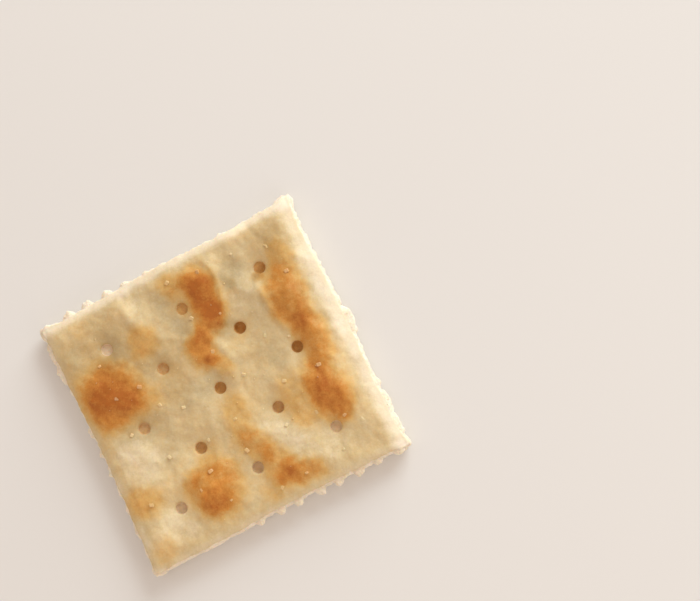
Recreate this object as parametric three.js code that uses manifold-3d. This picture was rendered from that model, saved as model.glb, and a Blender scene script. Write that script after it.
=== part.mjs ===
// A saltine cracker: one thin square of baked soda-cracker dough.
// Millimetres, +Z up. The underside rests on z = 0 and the origin is the middle of the footprint.
// +X and +Y run along the cracker's sides.

import * as THREE from 'three';
import { mergeVertices } from 'three/addons/utils/BufferGeometryUtils.js';
import Module from 'manifold-3d';

const wasm = await Module();
wasm.setup();

// The sheet of dough, between its torn edges.
const LENGTH = 50.4;
const WIDTH = 48.6;
const SKEW = 0.014; // the sheet is a little out of square
const CORNER_ROUND = 1.0;
const CORNER_TIP = 0.5; // the corners are drawn out a little
const CORNER_TIP_REACH = 2.2;
const OUTLINE_WANDER = 0.18;

// Heights above the table.
const CRUMB_TOP = 3.9; // the pale surface between the blisters
const EDGE_LIFT = 0.55; // the lower rim of the torn edge
const EDGE_LIFT_WIDTH = 1.8;
const PILLOW = 0.2; // rise of the dough between the docker holes
const HOLE_DIP_REACH = 3.0; // how wide the dough dips round a docker hole
const RELIEF_STARTS = -0.6; // the relief grows between these two depths in from the edge
const RELIEF_FULL = 2.6;
const UNDERSIDE_HOLLOW = 0.3; // shallow hollows underneath
const UNDERSIDE_HOLLOW_FROM = 0.35; // the height of the long waves above which they begin
const UNDERSIDE_HELD_REACH = 2.0;

// How the crust slopes down to each torn side: over what width, and how far.
const BEVELS = {
  east: { width: 3.4, fall: 0.95 },
  north: { width: 1.6, fall: 0.5 },
  west: { width: 1.5, fall: 0.5 },
  south: { width: 1.3, fall: 0.5 },
};

// Docker holes, in five staggered rows.
const HOLE_PITCH = 7.9;
const HOLE_RADIUS = 1.1;
const HOLE_TAPER = 0.9; // the share of the radius that is left at the floor
const HOLE_LIP = 1.3; // the worn lip: its radius, how deep it starts and how high it ends
const HOLE_LIP_DEPTH = 0.3;
const HOLE_LIP_RISE = 0.35;
const HOLE_LEAST_DEPTH = 0.15;
const HOLE_SIDES = 14;
const PATTERN_X = -0.4; // the middle hole, off the cracker's middle
const PATTERN_Y = -0.2;

// Where each docker pin came out underneath.
const PINPRICK_RADIUS = 0.6;
const PINPRICK_TOP = 1.0;
const PINPRICK_SIDES = 8;

// Where the cutting shapes end, clear of the sheet.
const CLEAR_ABOVE = 8;
const CLEAR_BELOW = -1;

// The torn edge.
const STUB_ROOT = 0.9; // how deep a stub is rooted in the dough
const STUB_SMALLEST = 0.2;
const STUB_LEAN = 0.2;
const STUB_WANDER = 0.6;
const TORN_DEPTH = 0.28; // how far the crumb between the stubs stands out or in

// Coarse salt, one grain to a square of the surface.
const SALT_CELL = 6.4;
const SALT_CELLS = 7;
const SALT_SCATTER = 0.7; // how far off the middle of its square a grain may lie
const SALT_SIZE = 0.8;
const SALT_SMALLEST = 0.6; // the smallest grain and the spread of sizes, as shares of that size
const SALT_SPREAD = 0.5;
const SALT_DEPTH = 0.8; // a grain's second side and its height, as shares of its length
const SALT_HEIGHT = 0.55;
const SALT_TILT = 0.5;
const SALT_SUNK = 0.2;
const SALT_HOLE_GAP = 1.9;

// How finely the sheet is divided.
const SEGMENTS_X = 38;
const SEGMENTS_Y = 36;
const SEGMENTS_Z = 2;

const HALF_X = LENGTH / 2;
const HALF_Y = WIDTH / 2;

// Each blister: its middle, its two radii, its turn in degrees and its rise.
const BLISTERS = [
  // toasted blisters
  { x: -18.8, y: 7.2, along: 6.6, across: 5.4, turn: 20, rise: 1.05 },
  { x: 4.0, y: 15.8, along: 6.0, across: 4.2, turn: 75, rise: 1.05 },
  { x: -0.2, y: 20.4, along: 4.0, across: 2.2, turn: -20, rise: 0.4 },
  { x: -1.2, y: 8.4, along: 4.0, across: 2.8, turn: 60, rise: 0.65 },
  { x: 1.8, y: 3.6, along: 3.6, across: 1.8, turn: -65, rise: 0.4 },
  { x: -8.8, y: 13.8, along: 3.4, across: 2.6, turn: 20, rise: 0.45 },
  { x: 20.2, y: 16.8, along: 3.8, across: 2.2, turn: 80, rise: 0.35 },
  { x: 16.6, y: 8.2, along: 5.4, across: 3.6, turn: 85, rise: 0.85 },
  { x: 18.6, y: 0.4, along: 4.4, across: 2.6, turn: 90, rise: 0.7 },
  { x: 15.2, y: -6.6, along: 3.6, across: 3.2, turn: 0, rise: 0.6 },
  { x: 17.0, y: -11.4, along: 4.2, across: 3.2, turn: 70, rise: 0.75 },
  { x: 10.8, y: -6.8, along: 3.6, across: 2.4, turn: 70, rise: 0.4 },
  { x: 0.2, y: -7.2, along: 4.6, across: 3.4, turn: 0, rise: 0.35 },
  { x: 3.0, y: -17.6, along: 5.2, across: 3.2, turn: -55, rise: 0.85 },
  { x: 8.8, y: -20.0, along: 4.2, across: 2.2, turn: -10, rise: 0.5 },
  { x: -9.4, y: -16.0, along: 5.4, across: 5.0, turn: 0, rise: 1.1 },
  { x: -21.4, y: -11.6, along: 3.2, across: 2.4, turn: 0, rise: 0.45 },
  // pale swellings
  { x: 12.2, y: 13.6, along: 3.8, across: 2.0, turn: -40, rise: 0.5 },
  { x: 4.4, y: 6.4, along: 3.4, across: 1.8, turn: -60, rise: 0.35 },
  { x: -19.2, y: -4.8, along: 4.2, across: 4.4, turn: 0, rise: 0.6 },
  { x: -18.8, y: -18.0, along: 4.0, across: 3.8, turn: 0, rise: 0.55 },
  { x: 7.0, y: -11.6, along: 5.0, across: 2.2, turn: -40, rise: 0.45 },
  { x: -8.4, y: 18.6, along: 4.0, across: 2.6, turn: -60, rise: 0.5 },
  { x: -8.0, y: 1.0, along: 4.6, across: 3.2, turn: 30, rise: 0.15 },
];

// Each docker hole: its place in the staggered rows, in pitches, how deep the dough dips round it
// and how high its floor is.
const DOCKER_HOLES = [
  { column: -2, row: 2, dip: 0.35, floor: 2.85 },
  { column: 0, row: 2, dip: 0.35, floor: 3.15 },
  { column: 2, row: 2, dip: 0.7, floor: 2.25 },
  { column: -1, row: 1, dip: 0.3, floor: 2.75 },
  { column: 1, row: 1, dip: 0.55, floor: 2.1 },
  { column: -2, row: 0, dip: 0.7, floor: 2.6 },
  { column: 0, row: 0, dip: 0.3, floor: 2.4 },
  { column: 2, row: 0, dip: 0.4, floor: 2.4 },
  { column: -1, row: -1, dip: 0.4, floor: 2.35 },
  { column: 1, row: -1, dip: 0.75, floor: 2.2 },
  { column: -2, row: -2, dip: 0.7, floor: 2.7 },
  { column: 0, row: -2, dip: 0.35, floor: 2.8 },
  { column: 2, row: -2, dip: 0.55, floor: 2.7 },
];

// The stubs where the cracker was snapped off its neighbours, half a hole pitch apart. For each
// side: their level, their height, how blunt they are, and the reach and width of each in turn.
const TEETH = {
  east: {
    level: 1.9,
    height: 1.7,
    blunt: 0.95,
    reaches: [0.3, 0.55, 0.65, 0.4, 0.1, 0.0, 0.85, 0.15, 0.1, 0.1, 0.1, 0.15, 0.3],
    widths: [2.4, 3.8, 4.2, 1.6, 1.6, 1.6, 4.8, 1.8, 1.6, 1.6, 1.8, 1.6, 2.0],
  },
  north: {
    level: 2.5,
    height: 1.3,
    blunt: 0.25,
    reaches: [0.3, 1.15, 1.2, 1.1, 0.75, 0.45, 0.25, 0.2, 0.15, 0.2, 0.15, 0.2, 0.3],
    widths: [2.0, 2.6, 2.4, 2.2, 2.0, 2.0, 1.8, 1.6, 1.6, 1.6, 1.6, 1.6, 1.8],
  },
  west: {
    level: 2.0,
    height: 1.5,
    blunt: 0.7,
    reaches: [0.3, 0.25, 0.35, 0.4, 0.4, 0.6, 0.7, 0.7, 0.2, 0.35, 0.95, 0.9, 0.5],
    widths: [1.8, 3.4, 3.4, 2.2, 2.6, 1.8, 1.4, 2.2, 1.6, 1.8, 4.0, 4.2, 2.8],
  },
  south: {
    level: 2.65,
    height: 0.85,
    blunt: 0.7,
    reaches: [0.3, 0.15, 0.2, 0.2, 0.3, 0.9, 1.0, 1.1, 1.1, 1.1, 1.1, 0.8, 0.7],
    widths: [2.0, 1.4, 1.4, 1.4, 1.5, 1.7, 1.9, 1.8, 2.1, 1.8, 2.1, 1.7, 2.0],
  },
};

// A repeatable draw between 0 and 1.
function draw(index, channel) {
  const wave = Math.sin(index * 12.9898 + channel * 78.233) * 43758.5453;
  return wave - Math.floor(wave);
}

function smooth(low, high, value) {
  return THREE.MathUtils.smoothstep(value, low, high);
}

function holeCentre(hole) {
  const y = PATTERN_Y + hole.row * HOLE_PITCH;
  const x = PATTERN_X + hole.column * HOLE_PITCH + SKEW * y;
  return { x, y };
}

const HOLE_CENTRES = DOCKER_HOLES.map(holeCentre);

function holeDistance(x, y) {
  return Math.min(...HOLE_CENTRES.map((centre) => Math.hypot(x - centre.x, y - centre.y)));
}

// How far the dough dips towards the docker holes, where the pins held it down.
function holeDip(x, y) {
  const dips = DOCKER_HOLES.map((hole, i) => {
    const distance = Math.hypot(x - HOLE_CENTRES[i].x, y - HOLE_CENTRES[i].y) / HOLE_DIP_REACH;
    return hole.dip * Math.exp(-distance * distance);
  });
  return Math.max(...dips);
}

function blisterRise(x, y) {
  let rise = 0;
  for (const blister of BLISTERS) {
    const turn = THREE.MathUtils.degToRad(blister.turn);
    const dx = x - blister.x;
    const dy = y - blister.y;
    const along = (dx * Math.cos(turn) + dy * Math.sin(turn)) / blister.along;
    const across = (dy * Math.cos(turn) - dx * Math.sin(turn)) / blister.across;
    rise += blister.rise * Math.exp(-((along * along + across * across) ** 1.25));
  }
  return rise;
}

// The staggered pillows between the docker holes, -1 at a hole and 1 between four of them.
function pillow(x, y) {
  const stepX = Math.cos(Math.PI * (x - PATTERN_X) / HOLE_PITCH);
  const stepY = Math.cos(Math.PI * (y - PATTERN_Y) / HOLE_PITCH);
  return -stepX * stepY;
}

function edgeDepth(x, y) {
  return Math.min(HALF_X - Math.abs(x), HALF_Y - Math.abs(y));
}

function bevelDrop(bevel, depth) {
  const share = THREE.MathUtils.clamp(1 - depth / bevel.width, 0, 1);
  return bevel.fall * share * share;
}

// How far the crust has sloped down towards its torn sides.
function edgeDrop(x, y) {
  const dropX = bevelDrop(BEVELS.east, HALF_X - x) + bevelDrop(BEVELS.west, HALF_X + x);
  const dropY = bevelDrop(BEVELS.north, HALF_Y - y) + bevelDrop(BEVELS.south, HALF_Y + y);
  return Math.hypot(dropX, dropY);
}

function topHeight(x, y) {
  const relief = blisterRise(x, y) + PILLOW * pillow(x, y) - holeDip(x, y);
  return CRUMB_TOP + relief * smooth(RELIEF_STARTS, RELIEF_FULL, edgeDepth(x, y)) - edgeDrop(x, y);
}

// The underside is flat but for shallow hollows, a dimple at each pinprick and a lifted rim.
function undersideHeight(x, y) {
  const wave = Math.sin(x / 4.3 + 0.6) * Math.sin(y / 3.9 - 0.4);
  const hollow = UNDERSIDE_HOLLOW * Math.max(0, wave - UNDERSIDE_HOLLOW_FROM);
  const gap = holeDistance(x, y) / UNDERSIDE_HELD_REACH;
  const held = UNDERSIDE_HOLLOW * Math.max(0, 1 - gap * gap);
  const lift = EDGE_LIFT * (1 - smooth(0, EDGE_LIFT_WIDTH, edgeDepth(x, y)));
  return Math.max(hollow, held, lift);
}

// The outline: slightly wavy sides and corners that are rounded at the end of a drawn-out tip.
function outline(x, y) {
  const overX = Math.abs(x) - (HALF_X - CORNER_ROUND);
  const overY = Math.abs(y) - (HALF_Y - CORNER_ROUND);
  let pull = 0;
  if (overX > 0 && overY > 0) {
    pull = Math.max(overX, overY) * (1 - Math.max(overX, overY) / Math.hypot(overX, overY));
  }
  const cornerGap = Math.hypot(HALF_X - Math.abs(x), HALF_Y - Math.abs(y)) / CORNER_TIP_REACH;
  pull -= CORNER_TIP * Math.exp(-cornerGap * cornerGap);
  const waveX = OUTLINE_WANDER * Math.sin(y / 6.1 + 1.2 * Math.sign(x));
  const waveY = OUTLINE_WANDER * Math.sin(x / 5.3 + 2.1 * Math.sign(y));
  const outX = x * (1 + waveX / HALF_X) - pull * Math.sign(x);
  const outY = y * (1 + waveY / HALF_Y) - pull * Math.sign(y);
  return { x: outX + SKEW * outY, y: outY };
}

// How far the crumb of the torn edge stands out or in, halfway up.
function tornCrumb(x, y) {
  const spot = Math.round(x * 7) + Math.round(y * 11);
  return TORN_DEPTH * (2 * draw(spot, 9) - 1);
}

// A three.js geometry as a closed solid for joining and cutting.
function solid(geometry) {
  geometry.deleteAttribute('normal');
  geometry.deleteAttribute('uv');
  const merged = mergeVertices(geometry);
  return new wasm.Manifold(new wasm.Mesh({
    numProp: 3,
    vertProperties: new Float32Array(merged.attributes.position.array),
    triVerts: new Uint32Array(merged.index.array),
  }));
}

// The sheet of dough: a box whose faces are moved to the heights above.
function doughSheet() {
  const geometry = new THREE.BoxGeometry(LENGTH, WIDTH, 1, SEGMENTS_X, SEGMENTS_Y, SEGMENTS_Z);
  const position = geometry.attributes.position;
  for (let i = 0; i < position.count; i += 1) {
    const flatX = position.getX(i);
    const flatY = position.getY(i);
    const level = position.getZ(i) + 0.5;
    const place = outline(flatX, flatY);
    const low = undersideHeight(flatX, flatY);
    const high = topHeight(flatX, flatY);
    const between = level > 0.01 && level < 0.99;
    const grow = between ? 1 + tornCrumb(flatX, flatY) / HALF_X : 1;
    position.setXYZ(i, place.x * grow, place.y * grow, THREE.MathUtils.lerp(low, high, level));
  }
  return solid(geometry);
}

// A round upright shape: its half section is turned about the hole's middle.
function turned(profile, centre, sides) {
  const points = profile.map(([radius, z]) => new THREE.Vector2(radius, z));
  const geometry = new THREE.LatheGeometry(points, sides);
  geometry.rotateX(Math.PI / 2);
  geometry.translate(centre.x, centre.y, 0);
  return solid(geometry);
}

// What a docker pin pressed out of the upper crust: a tapered well with a worn lip.
function dockerWell(hole, centre) {
  const rim = topHeight(centre.x, centre.y);
  const neck = Math.max(rim - HOLE_LIP_DEPTH, hole.floor + HOLE_LEAST_DEPTH);
  const profile = [
    [0, hole.floor],
    [HOLE_TAPER * HOLE_RADIUS, hole.floor],
    [HOLE_RADIUS, neck],
    [HOLE_LIP, rim + HOLE_LIP_RISE],
    [HOLE_LIP, CLEAR_ABOVE],
    [0, CLEAR_ABOVE],
  ];
  return turned(profile, centre, HOLE_SIDES);
}

// The small hole that the same pin left underneath.
function pinprick(centre) {
  const profile = [
    [0, CLEAR_BELOW],
    [PINPRICK_RADIUS, CLEAR_BELOW],
    [PINPRICK_RADIUS, PINPRICK_TOP],
    [0, PINPRICK_TOP],
  ];
  return turned(profile, centre, PINPRICK_SIDES);
}

// One stub of the torn edge, pointing along +X from a straight edge at x = 0.
function stub(reach, width, teeth, index) {
  const depth = STUB_ROOT + reach;
  const geometry = new THREE.BoxGeometry(depth, width, teeth.height);
  const position = geometry.attributes.position;
  const lean = STUB_LEAN * (draw(index, 1) - 0.5);
  for (let i = 0; i < position.count; i += 1) {
    if (position.getX(i) > 0) {
      position.setY(i, position.getY(i) * teeth.blunt + lean);
      position.setZ(i, position.getZ(i) * teeth.blunt + lean);
    }
  }
  geometry.translate(depth / 2 - STUB_ROOT, 0, teeth.level);
  return geometry;
}

// Each torn side: how far out it is, how a stub that points along +X is turned to it, and which
// way and about what middle its stubs are counted along the turned +Y.
const SIDES = [
  { name: 'east', half: HALF_X, turn: 0, way: 1, middle: PATTERN_Y },
  { name: 'north', half: HALF_Y, turn: 90, way: -1, middle: -PATTERN_X },
  { name: 'west', half: HALF_X, turn: 180, way: -1, middle: -PATTERN_Y },
  { name: 'south', half: HALF_Y, turn: 270, way: 1, middle: PATTERN_X },
];

function tornStubs() {
  const stubs = [];
  let index = -1;
  for (const side of SIDES) {
    const teeth = TEETH[side.name];
    teeth.reaches.forEach((reach, slot) => {
      index += 1;
      if (reach < STUB_SMALLEST) {
        return;
      }
      const wander = STUB_WANDER * (draw(index, 2) - 0.5);
      const run = (slot - (teeth.reaches.length - 1) / 2) * HOLE_PITCH / 2 + wander;
      const geometry = stub(reach, teeth.widths[slot], teeth, index);
      geometry.translate(side.half, side.middle + side.way * run, 0);
      geometry.rotateZ(THREE.MathUtils.degToRad(side.turn));
      const position = geometry.attributes.position;
      for (let i = 0; i < position.count; i += 1) {
        position.setX(i, position.getX(i) + SKEW * position.getY(i));
      }
      stubs.push(solid(geometry));
    });
  }
  return stubs;
}

// Grains of coarse salt, pressed a little into the crust and clear of the docker holes.
function saltGrains() {
  const grains = [];
  const middle = (SALT_CELLS - 1) / 2;
  for (let cell = 0; cell < SALT_CELLS * SALT_CELLS; cell += 1) {
    const column = cell % SALT_CELLS;
    const row = Math.floor(cell / SALT_CELLS);
    const x = (column - middle + SALT_SCATTER * (draw(cell, 3) - 0.5)) * SALT_CELL;
    const y = (row - middle + SALT_SCATTER * (draw(cell, 4) - 0.5)) * SALT_CELL;
    if (holeDistance(x, y) <= SALT_HOLE_GAP || edgeDrop(x, y) > 0) {
      continue;
    }
    const size = SALT_SIZE * (SALT_SMALLEST + SALT_SPREAD * draw(cell, 5));
    const height = size * SALT_HEIGHT;
    const geometry = new THREE.BoxGeometry(size, size * SALT_DEPTH, height);
    geometry.rotateX(SALT_TILT * (draw(cell, 6) - 0.5));
    geometry.rotateY(SALT_TILT * (draw(cell, 7) - 0.5));
    geometry.rotateZ(Math.PI * draw(cell, 8));
    geometry.translate(x, y, topHeight(x, y) + height / 2 - SALT_SUNK);
    grains.push(solid(geometry));
  }
  return grains;
}

function crackerGeometry() {
  let cracker = doughSheet();
  for (const torn of tornStubs()) {
    cracker = cracker.add(torn);
  }
  DOCKER_HOLES.forEach((hole, i) => {
    cracker = cracker.subtract(dockerWell(hole, HOLE_CENTRES[i]));
    cracker = cracker.subtract(pinprick(HOLE_CENTRES[i]));
  });
  for (const grain of saltGrains()) {
    cracker = cracker.add(grain);
  }
  const mesh = cracker.getMesh();
  const geometry = new THREE.BufferGeometry();
  geometry.setAttribute('position', new THREE.BufferAttribute(mesh.vertProperties, 3));
  geometry.setIndex(new THREE.BufferAttribute(mesh.triVerts, 1));
  geometry.computeVertexNormals();
  return geometry;
}

const crust = new THREE.MeshStandardMaterial({ color: 0xd8b883, roughness: 0.85, metalness: 0 });

const cracker = new THREE.Mesh(crackerGeometry(), crust);
cracker.name = 'cracker';

const saltine = new THREE.Group();
saltine.add(cracker);

export default saltine;
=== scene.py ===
"""One saltine cracker: its baked crust, torn edge, underside and salt.

The shapes are worked out in millimetres, as the solid is, and turned into metres as each mesh is
made.
"""

import math

import bmesh
import bpy
import numpy as np
from mathutils import Matrix, Vector


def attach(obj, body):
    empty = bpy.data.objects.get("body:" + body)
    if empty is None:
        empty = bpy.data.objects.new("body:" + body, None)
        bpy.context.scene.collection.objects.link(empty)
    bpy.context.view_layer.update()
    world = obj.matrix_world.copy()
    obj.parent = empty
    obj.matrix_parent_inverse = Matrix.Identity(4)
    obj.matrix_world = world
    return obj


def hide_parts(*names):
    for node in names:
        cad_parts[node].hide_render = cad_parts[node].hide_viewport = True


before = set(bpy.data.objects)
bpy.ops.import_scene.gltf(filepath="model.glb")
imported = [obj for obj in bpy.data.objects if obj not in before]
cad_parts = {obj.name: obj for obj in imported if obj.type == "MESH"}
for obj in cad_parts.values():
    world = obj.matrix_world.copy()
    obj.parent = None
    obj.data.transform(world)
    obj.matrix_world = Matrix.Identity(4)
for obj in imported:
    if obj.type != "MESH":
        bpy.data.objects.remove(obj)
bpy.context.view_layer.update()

MM = 0.001

# The sheet of dough, between its torn edges.
LENGTH = 50.4
WIDTH = 48.6
HALF_X = LENGTH / 2
HALF_Y = WIDTH / 2
SKEW = 0.014
CORNER_ROUND = 1.0
CORNER_TIP = 0.5
CORNER_TIP_REACH = 2.2
OUTLINE_WANDER = 0.18

# The two faces of the sheet: heights above the table, and how high and how wide their forms are.
CRUMB_TOP = 3.9  # the pale surface between the blisters
EDGE_LIFT = 0.55  # the lower rim of the torn edge
EDGE_LIFT_WIDTH = 1.8
PILLOW = 0.2  # rise of the dough between the docker holes
HOLE_DIP_REACH = 3.0  # how wide the dough dips round a docker hole
RELIEF_STARTS = -0.6  # the relief grows between these two depths in from the edge
RELIEF_FULL = 2.6
UNDERSIDE_HOLLOW = 0.3  # shallow hollows underneath
UNDERSIDE_HOLLOW_FROM = 0.35  # the height of the long waves above which they begin
UNDERSIDE_HELD_REACH = 2.0  # how far round each pinprick the dough was drawn up

# How the crust slopes down to each torn side: over what width, and how far.
BEVELS = {"east": (3.4, 0.95), "north": (1.6, 0.5), "west": (1.5, 0.5), "south": (1.3, 0.5)}

# Docker holes, in five staggered rows.
HOLE_PITCH = 7.9
HOLE_RADIUS = 1.1
HOLE_LIP_WIDTH = 0.42
HOLE_LIP_DROP = 0.3
HOLE_LIP_ROUND = 0.98  # at 1 the worn lip would end upright
PATTERN_X = -0.4  # the middle hole, off the cracker's middle
PATTERN_Y = -0.2

# Where each docker pin came out underneath.
PINPRICK_RADIUS = 0.6
PINPRICK_TOP = 1.0
PINPRICK_TOAST = 0.3
PINPRICK_LIP_WIDTH = 0.3
PINPRICK_LIP_RISE = 0.12

# The finer forms of the crust, and how much of them is left at a docker hole and at the edge.
WRINKLE_RISE = 0.2
WRINKLE_SPACING = 5.2
HOLE_CALM = 0.25
HOLE_CALM_REACH = 1.6
EDGE_CALM = 0.35
EDGE_CALM_DEPTHS = (0.2, 2.4)
FOLD_STEPS = 40
FOLD_RUN_OUT = 3  # how many steps past each end of a fold its taper would reach nothing

# Small bubbles of the crust.
BUBBLES = 420
BUBBLE_MARGIN_X = 2.0
BUBBLE_MARGIN_Y = 1.5
BUBBLE_SMALLEST = 0.28
BUBBLE_SPREAD = 0.5
BUBBLE_RISE = 0.16  # as a share of its radius
BUBBLE_SHARPNESS = 1.4
BUBBLE_ON_RAW = 0.35  # the share of that rise where the crust isn't toasted
BUBBLE_TOASTING = (0.15, 0.6)  # how brown the crust is where it starts to grow and where it is 1

# The torn edge. The stubs stand in it, and the crumb of the dough shows in layers.
CORNER_TURN = 1.2  # how far before a corner the side begins to face outward along the diagonal
STUB_WANDER = 0.6  # the spread of their places along the side, and of their levels
STUB_LEAN = 0.2
STUB_HALF_WIDTH = 0.56  # as shares of a stub's width and its height
STUB_HALF_HEIGHT = 0.6
STUB_POINTED = 0.6  # the power of a pointed stub's outline, and what bluntness adds to it
STUB_BLUNTED = 3.0
STUB_SWELL = 0.65
STUB_FADE = 12.0  # how fast the stubs, and the crumb, grow from the two rims
CRUMB_FADE = 4.0
CRUMB_SWELL = 0.22
LAYER_RISE = 0.07
LAYER_RATE = 9.0
EDGE_TOAST = 0.03
EDGE_RIM_TOAST = 0.2  # what the two rims add to it
EDGE_STREAK = 3.0  # how much wider than high its streaks are
RIM_WEAR_ROWS = 5

# Layers of unevenness, from wide to fine: the height and the spacing of each one's ripples.
TOAST_WARP = ((0.6, 3.4), (0.3, 1.4))
TOAST_MOTTLE = ((0.1, 2.1), (0.06, 0.9))
TOAST_DRIFT = ((0.035, 5.5), (0.025, 2.0))
PAINTED_LIGHT_AND_SHADE_WARP = ((0.7, 3.1), (0.3, 1.3))
WRINKLE_WARP = ((0.8, 4.0),)
CRUST_SWELLS = ((0.2, 4.6), (0.145, 2.3), (0.066, 1.2), (0.03, 0.6))
UNDERSIDE_PITS = ((0.05, 3.1), (0.03, 1.2))
BELT_MOTTLE = ((0.2, 5.2), (0.12, 1.8))
BELT_STRAY = ((0.9, 4.2),)
TORN_CRUMB = ((0.16, 1.7), (0.2, 0.7))
LAYER_DRIFT = ((2.5, 5.0),)
STUB_FRAY = ((0.35, 0.8),)
EDGE_STREAKS = ((0.06, 2.4),)
RIM_WEAR = ((0.16, 2.6), (0.12, 1.1), (0.06, 0.6))
PIT_WALL = ((0.05, 1.0),)
PIT_END = ((0.06, 0.8),)

# Coarse salt.
SALT_CELL = 6.4
SALT_CELLS = 7
SALT_SCATTER = 0.7  # how far off the middle of its square a grain may lie
SALT_SIZE = 0.8
SALT_SMALLEST = 0.6  # the smallest grain and the spread of sizes, as shares of that size
SALT_SPREAD = 0.5
SALT_SHAPE = (1.0, 0.8, 0.55)
SALT_TILT = 0.5
SALT_SUNK = 0.2
SALT_HOLE_GAP = 1.9
SALT_BEVEL = 0.17  # the worn edges and corners, for coarse and fine grains
SALT_WORN = 0.22
SALT_DRAWS = 97  # more than the numbers drawn for a grain, so that no two grains share any

# Fine salt.
FINE_SALT = 50
FINE_SALT_MARGIN_X = 3.5
FINE_SALT_MARGIN_Y = 2.0
FINE_SALT_HOLE_GAP = 0.4
FINE_SALT_SMALLEST = 0.16
FINE_SALT_SPREAD = 0.16
FINE_SALT_TURN = 3.0  # the most that it turns about each axis, in radians
FINE_SALT_STANDS = 0.25  # how far its middle is above the crust, as a share of its size

# How finely the crust is divided.
CELLS_X = 196
CELLS_Y = 188
EDGE_LEVELS = 22
GRID_X = np.linspace(-HALF_X, HALF_X, CELLS_X + 1)
GRID_Y = np.linspace(-HALF_Y, HALF_Y, CELLS_Y + 1)

# Each blister: its middle, its radii along and across, its turn in degrees and its rise.
BLISTERS = (
    (-18.8, 7.2, 6.6, 5.4, 20, 1.05),
    (4.0, 15.8, 6.0, 4.2, 75, 1.05),
    (-0.2, 20.4, 4.0, 2.2, -20, 0.4),
    (-1.2, 8.4, 4.0, 2.8, 60, 0.65),
    (1.8, 3.6, 3.6, 1.8, -65, 0.4),
    (-8.8, 13.8, 3.4, 2.6, 20, 0.45),
    (20.2, 16.8, 3.8, 2.2, 80, 0.35),
    (16.6, 8.2, 5.4, 3.6, 85, 0.85),
    (18.6, 0.4, 4.4, 2.6, 90, 0.7),
    (15.2, -6.6, 3.6, 3.2, 0, 0.6),
    (17.0, -11.4, 4.2, 3.2, 70, 0.75),
    (10.8, -6.8, 3.6, 2.4, 70, 0.4),
    (0.2, -7.2, 4.6, 3.4, 0, 0.35),
    (3.0, -17.6, 5.2, 3.2, -55, 0.85),
    (8.8, -20.0, 4.2, 2.2, -10, 0.5),
    (-9.4, -16.0, 5.4, 5.0, 0, 1.1),
    (-21.4, -11.6, 3.2, 2.4, 0, 0.45),
    (12.2, 13.6, 3.8, 2.0, -40, 0.5),
    (4.4, 6.4, 3.4, 1.8, -60, 0.35),
    (-19.2, -4.8, 4.2, 4.4, 0, 0.6),
    (-18.8, -18.0, 4.0, 3.8, 0, 0.55),
    (7.0, -11.6, 5.0, 2.2, -40, 0.45),
    (-8.4, 18.6, 4.0, 2.6, -60, 0.5),
    (-8.0, 1.0, 4.6, 3.2, 30, 0.15),
)
BLISTER_SHARPNESS = 1.25

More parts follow.
